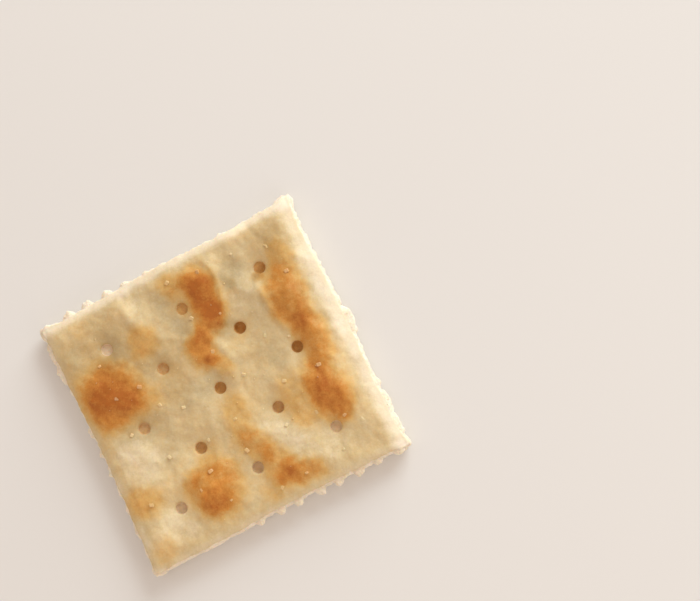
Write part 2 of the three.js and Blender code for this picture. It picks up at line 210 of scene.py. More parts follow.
# Where the oven toasted the crust: middle, radii, turn and strength.
TOASTED = (
    (-18.9, 7.5, 6.2, 6.4, 0, 0.58),
    (-19.6, 7.4, 3.4, 3.0, 20, 0.14),
    (-13.8, 4.4, 3.8, 2.8, -20, 0.17),
    (-14.8, 0.8, 2.4, 2.0, 0, 0.05),
    (-8.4, 9.4, 4.4, 4.0, 0, 0.06),
    (0.0, 20.4, 3.4, 2.2, -15, 0.2),
    (1.2, 17.2, 3.4, 3.6, 0, 0.13),
    (4.8, 16.4, 3.7, 5.3, 0, 0.42),
    (4.8, 16.6, 2.5, 3.6, 5, 0.24),
    (4.0, 11.8, 3.6, 2.8, 0, 0.24),
    (2.6, 10.2, 4.2, 2.4, 30, 0.24),
    (4.2, 9.2, 1.6, 1.5, 0, 0.09),
    (14.5, 14.3, 1.1, 1.0, 0, 0.2),
    (9.8, 15.6, 1.0, 2.2, 10, 0.09),
    (-0.1, 7.2, 3.9, 2.9, 80, 0.4),
    (1.8, 3.8, 3.2, 1.9, -60, 0.28),
    (-9.2, 13.6, 3.0, 3.2, 0, 0.25),
    (16.2, 14.0, 2.0, 2.2, 0, 0.07),
    (20.2, 15.4, 3.6, 2.4, 85, 0.2),
    (18.0, 8.4, 6.2, 3.9, 90, 0.45),
    (18.7, -0.6, 5.4, 3.3, 90, 0.43),
    (15.7, -6.3, 2.4, 3.2, 0, 0.23),
    (15.3, 6.0, 2.0, 2.4, 0, 0.08),
    (17.3, -10.4, 5.8, 3.8, 90, 0.43),
    (17.2, -11.6, 3.6, 2.8, 90, 0.19),
    (11.4, -9.2, 5.8, 3.6, 95, 0.19),
    (0.2, -6.6, 5.4, 2.8, 90, 0.2),
    (1.0, -12.2, 4.0, 2.8, -70, 0.26),
    (-2.6, -12.4, 2.4, 2.4, 0, 0.07),
    (3.0, -17.2, 4.4, 3.0, -75, 0.27),
    (5.8, -18.4, 2.2, 2.0, 0, 0.06),
    (-7.2, -14.0, 2.6, 2.0, 0, 0.08),
    (7.2, 7.2, 2.2, 2.2, 0, 0.07),
    (-24.2, 14.0, 1.6, 5.4, 0, 0.07),
    (-24.2, -2.0, 1.6, 3.4, 0, 0.07),
    (24.2, 19.0, 1.6, 5.0, 0, 0.08),
    (6.6, -20.2, 4.6, 2.5, -15, 0.38),
    (0.6, -21.0, 3.0, 2.2, 0, 0.14),
    (-9.0, -15.8, 5.4, 5.6, 0, 0.4),
    (-9.9, -18.1, 3.2, 2.6, 0, 0.21),
    (-12.2, -12.4, 2.2, 2.0, 0, 0.12),
    (-7.6, -8.8, 2.4, 2.2, 0, 0.1),
    (-22.0, -12.0, 4.0, 3.4, -20, 0.28),
    (-22.8, -22.0, 3.0, 2.6, 0, 0.12),
    (-16.6, 17.0, 9.0, 6.0, 0, 0.05),
    (-8.0, 4.0, 4.2, 3.2, 0, 0.06),
    (19.4, 19.8, 3.6, 3.0, 0, 0.05),
    (10.4, -17.4, 2.6, 2.2, 0, 0.05),
    (3.5, -3.8, 3.0, 3.0, 0, 0.04),
    (2.0, -22.6, 2.6, 1.4, 0, 0.06),
)
TOASTED_SHARPNESS = 2.5

# Paler patches, partly paler crust and partly painted light on lobes that face the key light:
# middle, radii, turn and strength.
PALER_AND_PAINTED_LIT_PATCHES = (
    (-19.2, -5.6, 4.4, 5.2, 0, 0.11),
    (-19.0, -18.4, 4.6, 4.2, 0, 0.06),
    (12.4, 13.6, 3.0, 4.0, 0, 0.05),
    (6.2, -12.4, 5.2, 2.7, -45, 0.1),
    (12.4, -17.6, 4.8, 3.8, 0, 0.07),
    (-8.8, 19.6, 1.8, 4.4, 0, 0.07),
)
PALER_AND_PAINTED_LIT_SHARPNESS = 1.3

# How brown the crust is between the patches, and how brown it gets at most.
RAW_TOAST = 0.287
MOST_TOASTED = 1.05

# How the crust pales towards each torn side: from what depth, to what depth and by how much.
# The east and north sides, which face the key light, pale twice as much: that part is painted light.
RIM_PALING_AND_PAINTED_LIGHT = {
    "east": (3.4, 0.8, 0.21),
    "north": (2.4, 0.4, 0.21),
    "west": (2.0, 0.2, 0.1),
    "south": (1.6, 0.2, 0.1),
}

# How brown the oven belt made the underside, and what it adds where the crust touched it. The
# browning begins and is full at two depths in from the edge.
BELT_TOAST = 0.3
BELT_TOUCH_TOAST = 0.22
BELT_TOUCH_HEIGHTS = (0.02, 0.2)
BELT_DEPTHS = (0.6, 3.0)

# Painted light and shade: lighter where the crust's slopes face the key light, and darker where
# the strength is negative, in hollows and on slopes away from it: middle, radii, turn and strength.
PAINTED_LIGHT_AND_SHADE = (
    (10.6, 17.2, 3.8, 2.6, -50, -0.24),
    (9.7, 16.2, 0.9, 2.4, 10, -0.17),
    (9.2, 20.2, 1.8, 0.8, 95, 0.16),
    (4.1, 9.3, 1.7, 1.4, 0, -0.22),
    (14.5, 14.3, 1.1, 1.0, 0, -0.26),
    (6.3, 8.2, 2.0, 2.0, 0, -0.25),
    (-14.8, 16.2, 3.2, 5.6, 0, -0.2),
    (-9.8, 8.4, 3.6, 2.8, 0, -0.2),
    (-7.4, 4.0, 2.6, 2.0, 0, -0.1),
    (-6.8, 11.6, 2.0, 2.4, 0, -0.1),
    (-21.8, 16.6, 2.8, 2.8, 0, -0.19),
    (-1.6, 11.4, 1.8, 2.6, 0, -0.18),
    (-3.2, 16.2, 2.6, 3.6, 20, -0.18),
    (-0.2, 19.6, 2.4, 1.8, 0, -0.1),
    (-4.4, 0.9, 5.2, 2.4, 0, -0.17),
    (-17.6, -0.2, 4.2, 2.8, 0, -0.19),
    (-18.2, 13.6, 4.4, 1.9, 0, -0.12),
    (19.9, 19.8, 2.4, 2.2, 0, -0.16),
    (15.8, 14.0, 1.8, 2.0, 0, -0.08),
    (10.8, 0.4, 3.6, 2.4, 110, -0.16),
    (17.2, 7.8, 3.4, 3.4, 0, -0.12),
    (-12.8, -5.2, 2.4, 2.4, 0, -0.11),
    (-3.2, -15.4, 1.8, 2.6, 0, -0.08),
    (21.6, -5.5, 1.7, 5.8, 0, 0.2),
    (22.2, 13.0, 1.5, 3.0, 0, 0.11),
    (21.5, -16.0, 1.8, 3.0, 0, 0.12),
    (-20.9, -6.4, 2.4, 3.4, 0, 0.12),
    (-21.6, -11.8, 2.4, 2.0, 0, 0.11),
    (-21.8, -20.4, 2.4, 3.4, 0, 0.2),
    (-18.5, 22.8, 3.2, 1.4, 0, 0.11),
    (14.5, 22.8, 2.8, 1.5, 0, 0.16),
    (4.0, -12.0, 3.2, 1.4, -56, 0.13),
    (4.2, -2.0, 2.4, 2.2, 0, 0.09),
    (9.2, -7.0, 1.6, 2.8, 0, 0.12),
    (5.8, -7.5, 2.0, 2.0, 0, -0.1),
    (5.6, -18.0, 2.0, 1.8, 0, -0.06),
    (-9.2, -15.6, 2.6, 1.9, 0, 0.13),
    (12.6, -12.0, 2.2, 2.6, 0, 0.09),
    (0.6, -18.8, 2.4, 2.4, 0, 0.12),
    (-15.5, -11.2, 2.4, 2.0, 0, 0.14),
    (-14.6, -15.8, 1.4, 2.6, 0, 0.14),
    (-9.6, 19.6, 1.3, 3.2, -10, 0.1),
)
PAINTED_LIGHT_AND_SHADE_SHARPNESS = 1.4

# Soft crests and, where the rise is negative, furrows of the skin: points along each, its half
# width and its rise.
CRESTS = (
    (((-11.4, 22.4), (-9.8, 19.8), (-8.9, 16.8), (-8.6, 13.4)), 1.2, 0.34),
    (((-20.4, 19.6), (-16.4, 17.8), (-12.4, 15.4), (-7.2, 10.4), (-4.6, 3.6), (-3.4, -1.0)), 2.9, 0.34),
    (((-5.2, 21.8), (-1.4, 18.0), (0.2, 13.4)), 2.2, 0.22),
    (((7.4, 21.1), (8.2, 18.6), (8.2, 16.4), (7.5, 14.0), (6.8, 11.6)), 0.7, 0.42),
    (((10.2, 20.8), (11.0, 17.6), (10.6, 14.6)), 1.5, -0.26),
    (((1.8, 9.6), (2.8, 6.8), (4.2, 3.6)), 0.9, 0.3),
    (((-0.6, 5.4), (0.8, 2.6), (3.2, 1.2)), 0.8, 0.16),
    (((2.4, -9.2), (4.4, -12.8), (7.8, -15.4), (11.0, -18.2)), 1.6, 0.34),
    (((11.2, 15.4), (12.0, 13.6), (13.4, 11.2)), 1.2, 0.2),
    (((19.6, 22.6), (21.6, 21.4), (23.0, 19.4)), 1.6, 0.2),
    (((20.4, 15.0), (20.3, 10.0), (20.1, 2.0), (19.8, -4.0), (19.8, -9.0), (20.2, -14.0)), 1.9, 0.22),
    (((-22.0, -1.2), (-18.8, -1.8), (-15.8, -3.4)), 1.7, -0.22),
    (((-22.8, -5.0), (-21.6, -9.0), (-18.2, -12.0)), 1.8, 0.34),
    (((-22.8, -16.8), (-22.2, -20.2), (-19.2, -22.2)), 1.8, 0.3),
    (((12.5, 16.0), (13.7, 13.6), (14.4, 11.0), (14.2, 8.6), (14.7, 5.8), (15.4, 2.6)), 0.7, 0.24),
    (((11.2, 6.6), (13.4, 3.0), (14.4, -1.4)), 2.3, 0.22),
    (((8.8, -4.2), (10.2, -7.4), (12.4, -10.4)), 1.0, 0.18),
    (((-13.2, -12.6), (-10.8, -11.2), (-7.0, -11.6)), 0.9, 0.24),
    (((-15.6, 2.4), (-12.4, 5.2), (-9.6, 4.6)), 1.2, 0.24),
    (((-4.4, -1.6), (-3.6, -4.6), (-5.0, -7.4)), 1.2, 0.12),
    (((2.2, -2.0), (5.0, -3.6), (8.2, -3.2)), 1.4, 0.14),
)

# Each docker hole: its column and row, in pitches, how deep the dough dips round it, how high its
# floor is and how brown it is inside. The brown inside is partly painted: it stands in for the
# shade seen down the hole, and in the pale first one for light seen through it.
DOCKER_HOLES = (
    (-2, 2, 0.35, 2.85, 0.16),
    (0, 2, 0.35, 3.15, 0.52),
    (2, 2, 0.7, 2.25, 0.58),
    (-1, 1, 0.3, 2.75, 0.44),
    (1, 1, 0.55, 2.1, 0.66),
    (-2, 0, 0.7, 2.6, 0.38),
    (0, 0, 0.3, 2.4, 0.54),
    (2, 0, 0.4, 2.4, 0.62),
    (-1, -1, 0.4, 2.35, 0.46),
    (1, -1, 0.75, 2.2, 0.44),
    (-2, -2, 0.7, 2.7, 0.22),
    (0, -2, 0.35, 2.8, 0.27),
    (2, -2, 0.55, 2.7, 0.26),
)

# Where crumb slumped into a docker hole: the hole's column and row, the side that it came from in
# degrees, how high it heaps there and how much paler it is.
SLUMPED = {(2, 2): (110, 0.4, 0.08)}
SLUMP_ACROSS = (-0.35, 0.75)  # where across the hole, in radii, it begins and where it is full

# The stubs where the cracker was snapped out of the baked sheet, half a hole pitch apart. For each
# side: their level, their height, how blunt they are, and the reach and width of each in turn.
TEETH = {
    "east": (1.9, 1.7, 0.95,
             (0.3, 0.55, 0.65, 0.4, 0.1, 0.0, 0.85, 0.15, 0.1, 0.1, 0.1, 0.15, 0.3),
             (2.4, 3.8, 4.2, 1.6, 1.6, 1.6, 4.8, 1.8, 1.6, 1.6, 1.8, 1.6, 2.0)),
    "north": (2.5, 1.3, 0.25,
              (0.3, 1.15, 1.2, 1.1, 0.75, 0.45, 0.25, 0.2, 0.15, 0.2, 0.15, 0.2, 0.3),
              (2.0, 2.6, 2.4, 2.2, 2.0, 2.0, 1.8, 1.6, 1.6, 1.6, 1.6, 1.6, 1.8)),
    "west": (2.0, 1.5, 0.7,
             (0.3, 0.25, 0.35, 0.4, 0.4, 0.6, 0.7, 0.7, 0.2, 0.35, 0.95, 0.9, 0.5),
             (1.8, 3.4, 3.4, 2.2, 2.6, 1.8, 1.4, 2.2, 1.6, 1.8, 4.0, 4.2, 2.8)),
    "south": (2.65, 0.85, 0.7,
              (0.3, 0.15, 0.2, 0.2, 0.3, 0.9, 1.0, 1.1, 1.1, 1.1, 1.1, 0.8, 0.7),
              (2.0, 1.4, 1.4, 1.4, 1.5, 1.7, 1.9, 1.8, 2.1, 1.8, 2.1, 1.7, 2.0)),
}

# The square rings of grid points round a docker hole. The first, 4 steps from the middle and of 32
# points, is the lip. Then the radius of each, on the top and underneath, and how round it is made.
LIP_RING = 4
TOP_RINGS = (1.1, 1.15, 1.24, 1.38, 1.6, 1.86, 2.15)
FOOT_RINGS = (0.6, 0.68, 0.82, 1.04, 1.36, 1.74, 2.15)
RING_ROUNDNESS = (1.0, 1.0, 1.0, 0.95, 0.8, 0.5, 0.2)

# The inside of a hole, ring by ring: how far towards its end, and the share of its radius.
PIT_PROFILE = (
    (0.15, 0.99),
    (0.35, 0.97),
    (0.6, 0.95),
    (0.82, 0.92),
    (0.95, 0.86),
    (1.0, 0.7),
    (1.0, 0.3),
)
PIT_WALL_ROUND = 3.0  # the radius and the depth over which its wall's unevenness is read
PIT_WALL_DOWN = 4.0
PIT_WALL_FADE = 3.0  # how fast that fades near the end


def smooth(low, high, value):
    """0 below low, 1 above high and a smooth step between them."""
    t = np.clip((value - low) / (high - low), 0, 1)
    return t * t * (3 - 2 * t)


def draw(index, channel):
    """A repeatable draw between 0 and 1, the same as in the solid."""
    wave = np.sin(index * 12.9898 + channel * 78.233) * 43758.5453
    return wave - np.floor(wave)


def ease(t):
    """A step from 0 to 1 that starts and ends evenly."""
    return t**3 * (t * (t * 6 - 15) + 10)


def ripples(x, y, spacing, seed):
    """Smooth unevenness between about -1 and 1, with bumps `spacing` millimetres apart."""
    size = 64
    angles = np.random.default_rng(seed).uniform(0, 2 * np.pi, (size, size))
    u = (0.8 * x + 0.6 * y) / spacing
    v = (0.8 * y - 0.6 * x) / spacing
    column = np.floor(u).astype(int)
    row = np.floor(v).astype(int)
    du = u - column
    dv = v - row

    def corner(i, j):
        angle = angles[(column + i) % size, (row + j) % size]
        return np.cos(angle) * (du - i) + np.sin(angle) * (dv - j)

    low = corner(0, 0) * (1 - ease(du)) + corner(1, 0) * ease(du)
    high = corner(0, 1) * (1 - ease(du)) + corner(1, 1) * ease(du)
    return 1.5 * (low * (1 - ease(dv)) + high * ease(dv))


def uneven(x, y, layers, seed):
    """The sum of layers of ripples, each given by its height and its spacing."""
    waves = [
        height * ripples(x, y, spacing, seed + number)
        for number, (height, spacing) in enumerate(layers)
    ]
    return sum(waves)


def warped(x, y, layers, seed):
    """The same places moved about, so that what is laid over them gets ragged borders."""
    return x + uneven(x, y, layers, seed), y + uneven(x, y, layers, seed + len(layers))


def at_least(least, share):
    """Grows from least to 1 as the share grows from 0 to 1."""
    return least + (1 - least) * share


def hole_centre(column, row):
    y = PATTERN_Y + row * HOLE_PITCH
    return np.array([PATTERN_X + column * HOLE_PITCH + SKEW * y, y])


HOLE_CENTRES = [hole_centre(column, row) for column, row, _, _, _ in DOCKER_HOLES]
HOLE_DIPS = [hole[2] for hole in DOCKER_HOLES]


def hole_distance(x, y):
    """How far each point is from the nearest docker hole's middle."""
    return np.min([np.hypot(x - c[0], y - c[1]) for c in HOLE_CENTRES], axis=0)


def hole_dip(x, y):
    """How far the dough dips towards the docker holes, where the pins held it down."""
    pulls = [
        dip * np.exp(-(((x - c[0]) ** 2 + (y - c[1]) ** 2) / HOLE_DIP_REACH**2))
        for c, dip in zip(HOLE_CENTRES, HOLE_DIPS)
    ]
    return np.max(pulls, axis=0)


def mounds(x, y, spots, sharpness):
    """The sum of rounded mounds, each given by middle, radii, turn and strength."""
    total = np.zeros_like(x)
    for middle_x, middle_y, along, across, turn, strength in spots:
        angle = math.radians(turn)
        dx = x - middle_x
        dy = y - middle_y
        u = (dx * math.cos(angle) + dy * math.sin(angle)) / along
        v = (dy * math.cos(angle) - dx * math.sin(angle)) / across
        total += strength * np.exp(-((u * u + v * v) ** sharpness))
    return total


def folds(x, y):
    """The soft crests and furrows of the skin, each along a curve through its points."""
    total = np.zeros_like(x)
    for points, half_width, rise in CRESTS:
        knots = np.array(points)
        steps = np.linspace(0, len(knots) - 1, FOLD_STEPS)
        line_x = np.interp(steps, range(len(knots)), knots[:, 0])
        line_y = np.interp(steps, range(len(knots)), knots[:, 1])
        away = np.hypot(x[..., None] - line_x, y[..., None] - line_y)
        nearest = np.argmin(away, axis=-1)
        taper = np.sin(np.pi * (nearest + FOLD_RUN_OUT) / (FOLD_STEPS - 1 + 2 * FOLD_RUN_OUT)) ** 0.5
        total += rise * taper * np.exp(-((np.min(away, axis=-1) / half_width) ** 2))
    return total


def side_depths(x, y):
    """How far in from each torn side a place is."""
    return {"east": HALF_X - x, "west": HALF_X + x, "north": HALF_Y - y, "south": HALF_Y + y}


def edge_drop(x, y):
    """How far the crust has sloped down towards its torn sides."""
    drop = {}
    for side, depth in side_depths(x, y).items():
        width, fall = BEVELS[side]
        drop[side] = fall * np.clip(1 - depth / width, 0, 1) ** 2
    return np.hypot(drop["east"] + drop["west"], drop["north"] + drop["south"])


def edge_depth(x, y):
    """How far in from the nearest torn side a place is."""
    return np.minimum(HALF_X - np.abs(x), HALF_Y - np.abs(y))


def top_height(x, y):
    """The height of the upper crust, as in the solid."""
    step_x = np.cos(np.pi * (x - PATTERN_X) / HOLE_PITCH)
    step_y = np.cos(np.pi * (y - PATTERN_Y) / HOLE_PITCH)
    relief = mounds(x, y, BLISTERS, BLISTER_SHARPNESS) - PILLOW * step_x * step_y - hole_dip(x, y)
    return CRUMB_TOP + relief * smooth(RELIEF_STARTS, RELIEF_FULL, edge_depth(x, y)) - edge_drop(x, y)


def underside_height(x, y):
    """The height of the lower crust, as in the solid."""
    wave = np.sin(x / 4.3 + 0.6) * np.sin(y / 3.9 - 0.4)
    hollow = UNDERSIDE_HOLLOW * np.maximum(0, wave - UNDERSIDE_HOLLOW_FROM)
    held = UNDERSIDE_HOLLOW * np.maximum(0, 1 - (hole_distance(x, y) / UNDERSIDE_HELD_REACH) ** 2)
    lift = EDGE_LIFT * (1 - smooth(0, EDGE_LIFT_WIDTH, edge_depth(x, y)))
    return np.maximum(np.maximum(hollow, held), lift)


def east_west_wave(x, y):
    """How far the east or the west side wanders out here."""
    return OUTLINE_WANDER * np.sin(y / 6.1 + 1.2 * np.sign(x))


def north_south_wave(x, y):
    """How far the north or the south side wanders out here."""
    return OUTLINE_WANDER * np.sin(x / 5.3 + 2.1 * np.sign(y))


def outline(x, y):
    """Moves flat places to the real outline: wavy sides, rounded corners and skewed dough."""
    over_x = np.maximum(0, np.abs(x) - (HALF_X - CORNER_ROUND))
    over_y = np.maximum(0, np.abs(y) - (HALF_Y - CORNER_ROUND))
    far = np.maximum(over_x, over_y)
    reach = np.maximum(np.hypot(over_x, over_y), 1e-9)
    pull = np.where((over_x > 0) & (over_y > 0), far * (1 - far / reach), 0)
    corner_gap = np.hypot(HALF_X - np.abs(x), HALF_Y - np.abs(y))
    pull = pull - CORNER_TIP * np.exp(-((corner_gap / CORNER_TIP_REACH) ** 2))
    out_x = x * (1 + east_west_wave(x, y) / HALF_X) - pull * np.sign(x)
    out_y = y * (1 + north_south_wave(x, y) / HALF_Y) - pull * np.sign(y)
    return out_x + SKEW * out_y, out_y


def flat_place(x, y):
    """The flat place that the outline moved here, near enough for the heights."""
    flat_y = y / (1 + north_south_wave(x, y) / HALF_Y)
    return (x - SKEW * y) / (1 + east_west_wave(x, flat_y) / HALF_X), flat_y


def ring_angle(i, j):
    """The angle of a grid point on the square ring round a hole, evenly stepped."""
    if abs(i) >= abs(j):
        return (0 if i > 0 else math.pi) + math.pi / 4 * j / i
    return math.copysign(math.pi / 2, j) - math.pi / 4 * i / j


class Crust:
    """The points and faces of one closed skin, gathered face by face."""

    def __init__(self):
        self.points = []
        self.toast = []
        self.faces = []
        self.finish = []
        self.count = 0

    def add_points(self, xyz, toast):
        xyz = np.asarray(xyz, float).reshape(-1, 3)
        size = len(xyz)
        self.points.append(xyz)
        self.toast.append(np.broadcast_to(np.asarray(toast, float), size))
        first = self.count
        self.count += size
        return np.arange(first, first + size)

    def add_quads(self, quads, finish):
        quads = np.asarray(quads).reshape(-1, 4)
        self.faces.append(quads)
        self.finish.append(np.full(len(quads), finish))

    def bridge(self, upper, lower, finish):
        """Quads between two closed loops of points that run the same way round."""
        upper_next = np.roll(upper, -1)
        lower_next = np.roll(lower, -1)
        self.add_quads(np.stack([upper, lower, lower_next, upper_next], axis=1), finish)


# The finish of each face, by its place in the list of the crust's materials.
CRUST, EDGE, UNDERSIDE, WELL = range(4)


def toasting(x, y):
    """How brown the upper crust is, 0 for raw flour to 1 for scorched, with ragged borders."""
    warp_x, warp_y = warped(x, y, TOAST_WARP, seed=11)
    brown = mounds(warp_x, warp_y, TOASTED, TOASTED_SHARPNESS)
    brown = brown * (1 + uneven(x, y, TOAST_MOTTLE, seed=15))
    # Paler patches, partly painted light on the lobes that face the key light.
    brown = brown - mounds(warp_x, warp_y, PALER_AND_PAINTED_LIT_PATCHES, PALER_AND_PAINTED_LIT_SHARPNESS)
    brown = brown + RAW_TOAST + uneven(x, y, TOAST_DRIFT, seed=17)
    # Paler towards the torn sides, with painted light on the east and north ones that face the key
    # light.
    for side, depth in side_depths(x, y).items():
        begins, full, paler = RIM_PALING_AND_PAINTED_LIGHT[side]
        brown = brown - paler * smooth(-begins, -full, -depth)
    return np.clip(brown, 0, MOST_TOASTED)


def painted_light_and_shade(x, y):
    """How much the painted light makes the crust lighter, or the painted shade darker where negative.
    """
    warp_x, warp_y = warped(x, y, PAINTED_LIGHT_AND_SHADE_WARP, seed=24)
    return mounds(warp_x, warp_y, PAINTED_LIGHT_AND_SHADE, PAINTED_LIGHT_AND_SHADE_SHARPNESS)


def bubble_rise(x, y, brown):
    """The small bubbles of the crust, higher where it is toasted."""
    rise = np.zeros_like(x)
    for n in range(BUBBLES):
        middle_x = (draw(n, 21) - 0.5) * (LENGTH - 2 * BUBBLE_MARGIN_X)
        middle_y = (draw(n, 22) - 0.5) * (WIDTH - 2 * BUBBLE_MARGIN_Y)
        radius = BUBBLE_SMALLEST + BUBBLE_SPREAD * draw(n, 23) ** 2
        near = (np.abs(x - middle_x) < 2 * radius) & (np.abs(y - middle_y) < 2 * radius)
        if not near.any():
            continue
        away = ((x[near] - middle_x) ** 2 + (y[near] - middle_y) ** 2) / radius**2
        wanted = at_least(BUBBLE_ON_RAW, smooth(*BUBBLE_TOASTING, brown[near]))
        rise[near] += BUBBLE_RISE * radius * wanted * np.exp(-(away**BUBBLE_SHARPNESS))
    return rise


def lip_share(x, y, radius, width):
    """How far into the lip of the nearest hole a place is, 0 outside it and 1 at the hole."""
    return np.clip((radius + width - hole_distance(x, y)) / width, 0, 1)


def crust_height(x, y, brown):
    """The upper crust with the finer unevenness of the baked dough."""
    flat_x, flat_y = flat_place(x, y)
    clear = smooth(HOLE_RADIUS, HOLE_RADIUS + HOLE_CALM_REACH, hole_distance(x, y))
    inner = smooth(*EDGE_CALM_DEPTHS, edge_depth(flat_x, flat_y))
    bent_x, bent_y = warped(x, y, WRINKLE_WARP, seed=35)
    wrinkle = 0.5 - np.abs(ripples(bent_x, bent_y, WRINKLE_SPACING, seed=37))
    swell = uneven(x, y, CRUST_SWELLS, seed=31) + WRINKLE_RISE * wrinkle
    calmed = at_least(HOLE_CALM, clear) * at_least(EDGE_CALM, inner) * swell
    raised = clear * (folds(x, y) * inner + bubble_rise(x, y, brown))
    lip = lip_share(x, y, HOLE_RADIUS, HOLE_LIP_WIDTH)
    drop = HOLE_LIP_DROP * (1 - np.sqrt(1 - lip**2 * HOLE_LIP_ROUND))
    return top_height(flat_x, flat_y) + calmed + raised - drop


def underside_crust(x, y):
    """The lower crust with its small pits and the raised lips of the pinpricks."""
    flat_x, flat_y = flat_place(x, y)
    height = underside_height(flat_x, flat_y) + uneven(x, y, UNDERSIDE_PITS, seed=41)
    lip = lip_share(x, y, PINPRICK_RADIUS, PINPRICK_LIP_WIDTH)
    return np.maximum(0, height) + PINPRICK_LIP_RISE * lip**2


def grid_places(radii):
    """The places of the grid's points, drawn into rings of these radii round the docker holes."""
    x, y = outline(*np.meshgrid(GRID_X, GRID_Y, indexing="ij"))
    middles = []
    for centre in HOLE_CENTRES:
        nearest = np.argmin(np.hypot(x - centre[0], y - centre[1]))
        column, row = np.unravel_index(nearest, x.shape)
        middles.append((column, row))
        rings = LIP_RING + len(radii)
        for i in range(-rings, rings + 1):
            for j in range(-rings, rings + 1):
                ring = max(abs(i), abs(j)) - LIP_RING
                if not 0 <= ring < len(radii):
                    continue
                angle = ring_angle(i, j)
                radius = radii[ring]
                round_x = centre[0] + radius * math.cos(angle)
                round_y = centre[1] + radius * math.sin(angle)
                share = RING_ROUNDNESS[ring]
                spot = (column + i, row + j)
                x[spot] = share * round_x + (1 - share) * x[spot]
                y[spot] = share * round_y + (1 - share) * y[spot]
    return x, y, middles


def ring_points(ids, middle):
    """The 32 grid points of a hole's lip, in order of angle."""
    column, row = middle
    found = [
        (ring_angle(i, j) % (2 * math.pi), ids[column + i, row + j])
        for i in range(-LIP_RING, LIP_RING + 1)
        for j in range(-LIP_RING, LIP_RING + 1)
        if max(abs(i), abs(j)) == LIP_RING
    ]
    return np.array([point for _, point in sorted(found)])


def grid_quads(ids, middles, upward):
    """The grid's quads, without those inside the holes."""
    keep = np.ones((CELLS_X, CELLS_Y), bool)
    for column, row in middles:
        keep[column - LIP_RING : column + LIP_RING, row - LIP_RING : row + LIP_RING] = False
    corners = [ids[:-1, :-1], ids[1:, :-1], ids[1:, 1:], ids[:-1, 1:]]
    if not upward:
        corners.reverse()
    return np.stack([corner[keep] for corner in corners], axis=1)


def rim(ids):
    """The grid's border points, counter-clockwise seen from above."""
    return np.concatenate([ids[:-1, 0], ids[-1, :-1], ids[:0:-1, -1], ids[0, :0:-1]])


def border():
    """Each border point's place, outward direction and run along the border, in rim order."""
    south = [(x, -HALF_Y) for x in GRID_X[:-1]]
    east = [(HALF_X, y) for y in GRID_Y[:-1]]
    north = [(x, HALF_Y) for x in GRID_X[:0:-1]]
    west = [(-HALF_X, y) for y in GRID_Y[:0:-1]]
    places = np.array(south + east + north + west)
    into_turn = (np.abs(places) - (HALF_X, HALF_Y) + CORNER_TURN) / CORNER_TURN
    outward = np.clip(into_turn, 0, 1) ** 2 * np.sign(places)
    run = np.arange(len(places)) * (LENGTH / CELLS_X)
    return places, outward / np.linalg.norm(outward, axis=1, keepdims=True), run


def stub_rise(places, height):
    """How far the stubs of the torn edge stand out at these border places and this height."""
    rise = np.zeros(len(places))
    index = 0
    for side, (level, tall, blunt, reaches, widths) in TEETH.items():
        upright = side in ("east", "west")
        along = places[:, 1] - PATTERN_Y if upright else places[:, 0] - PATTERN_X
        cross = places[:, 0] if upright else places[:, 1]
        edge = (HALF_X if upright else HALF_Y) * (1 if side in ("east", "north") else -1)
        here = np.abs(cross - edge) < 1e-6
        for slot, (reach, width) in enumerate(zip(reaches, widths)):
            run = (slot - (len(reaches) - 1) / 2) * HOLE_PITCH / 2
            run = run + STUB_WANDER * (draw(index, 2) - 0.5)
            lean = STUB_LEAN * (draw(index, 1) - 0.5)
            across = np.abs(along - run) / (STUB_HALF_WIDTH * width)
            up = (height - level - lean) / (STUB_HALF_HEIGHT * tall)
            power = STUB_POINTED + STUB_BLUNTED * blunt
            bead = np.maximum(0, 1 - across**power - up**2) ** STUB_SWELL
            rise = np.maximum(rise, np.where(here, reach * bead, 0))
            index += 1
    return rise


def torn_out(places, run, level, height):
    """How far the torn crumb stands out of the side, level 0 at its top and 1 at its foot."""
    swell = CRUMB_SWELL * np.sin(np.pi * level)
    crumb = uneven(run, height, TORN_CRUMB, seed=51)
    layers = LAYER_RISE * np.sin(LAYER_RATE * height + uneven(run, height, LAYER_DRIFT, seed=53))
    stubs = stub_rise(places, height) * (1 + uneven(run, height, STUB_FRAY, seed=54))
    from_rim = min(level, 1 - level)
    cover = min(1, CRUMB_FADE * from_rim)
    stub_cover = min(1, STUB_FADE * from_rim)
    return cover * (swell + crumb + layers) + stub_cover * stubs


def wear_rim(x, y, seed):
    """Moves the points near the border in and out, which gives a rim small nicks and swellings."""
    places, outward, run = border()
    wear = uneven(run, 0 * run, RIM_WEAR, seed)
    ids = np.arange(x.size).reshape(x.shape)
    for inset in range(RIM_WEAR_ROWS):
        loop = rim(ids[inset : CELLS_X + 1 - inset, inset : CELLS_Y + 1 - inset])
        share = (1 - inset / RIM_WEAR_ROWS) ** 2
        picked = np.round(np.linspace(0, len(places) - 1, len(loop))).astype(int)
        column, row = np.unravel_index(loop, x.shape)
        x[column, row] += share * wear[picked] * outward[picked, 0]
        y[column, row] += share * wear[picked] * outward[picked, 1]
    return x, y


def top_skin(crust):
    """The upper crust, open at the docker holes."""
    x, y, middles = grid_places(TOP_RINGS)
    x, y = wear_rim(x, y, seed=61)
    brown = toasting(x, y)
    z = crust_height(x, y, brown)
    xyz = np.stack([x, y, z], axis=-1)
    ids = crust.add_points(xyz, brown.ravel()).reshape(x.shape)
    crust.add_quads(grid_quads(ids, middles, True), CRUST)
    return ids, middles


